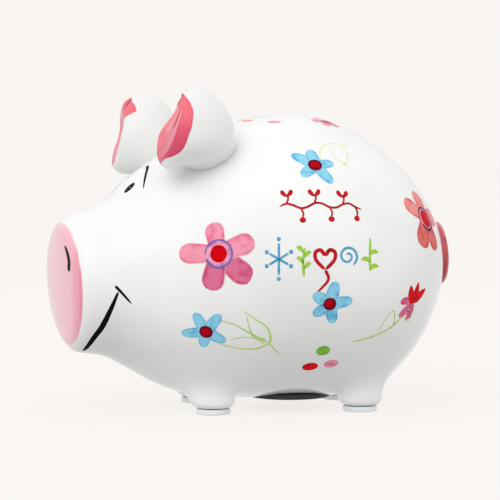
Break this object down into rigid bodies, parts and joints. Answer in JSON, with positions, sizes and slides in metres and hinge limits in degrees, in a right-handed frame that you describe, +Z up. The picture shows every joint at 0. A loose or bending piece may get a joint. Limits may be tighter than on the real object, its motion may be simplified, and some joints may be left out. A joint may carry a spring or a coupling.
{
  "type": "piggy bank",
  "caption": "Glazed ceramic piggy bank with a round hollow body, hood-shaped ears, coiled tail, coin slot in the back and a black stopper with a turning lock in the belly.",
  "frame": {"origin": "centre of the bounding box, on the surface that the foot pads stand on", "axes": "+Z up, -X towards the snout, -Y towards the animal's left side, which the head turns to"},
  "size_m": [0.1654, 0.1176, 0.1311],
  "materials": {
    "glaze": "glossy clear glaze over white earthenware, hand-painted",
    "ear_glaze": "glossy white glaze, pink brushed inside the dish",
    "tail_glaze": "glossy glaze over red underglaze colour",
    "clear_rubber": "clear soft polyurethane, satin",
    "stopper_plastic": "black moulded plastic, satin",
    "knob_plastic": "black moulded plastic, satin",
    "cam_plastic": "black moulded plastic, matte",
    "screw_steel": "zinc-plated steel"
  },
  "bodies": {
    "shell": {"body_shell": "glaze", "ear_left": "ear_glaze", "ear_right": "ear_glaze", "tail": "tail_glaze", "foot_pad_front_left": "clear_rubber", "foot_pad_front_right": "clear_rubber", "foot_pad_rear_left": "clear_rubber", "foot_pad_rear_right": "clear_rubber"},
    "stopper": {"stopper_body": "stopper_plastic"},
    "lock": {"lock_knob": "knob_plastic", "lock_cam": "cam_plastic", "lock_screw": "screw_steel"}
  },
  "joints": [
    {"name": "stopper_slide", "type": "slide", "parent": "shell", "child": "stopper", "axis": [0, 0, -1], "range_m": [0, 0.04]},
    {"name": "lock_turn", "type": "hinge", "parent": "stopper", "child": "lock", "pos_m": [0.0219, 0, 0.0132], "axis": [0, 0, 1], "range_deg": [0, 180]}
  ]
}
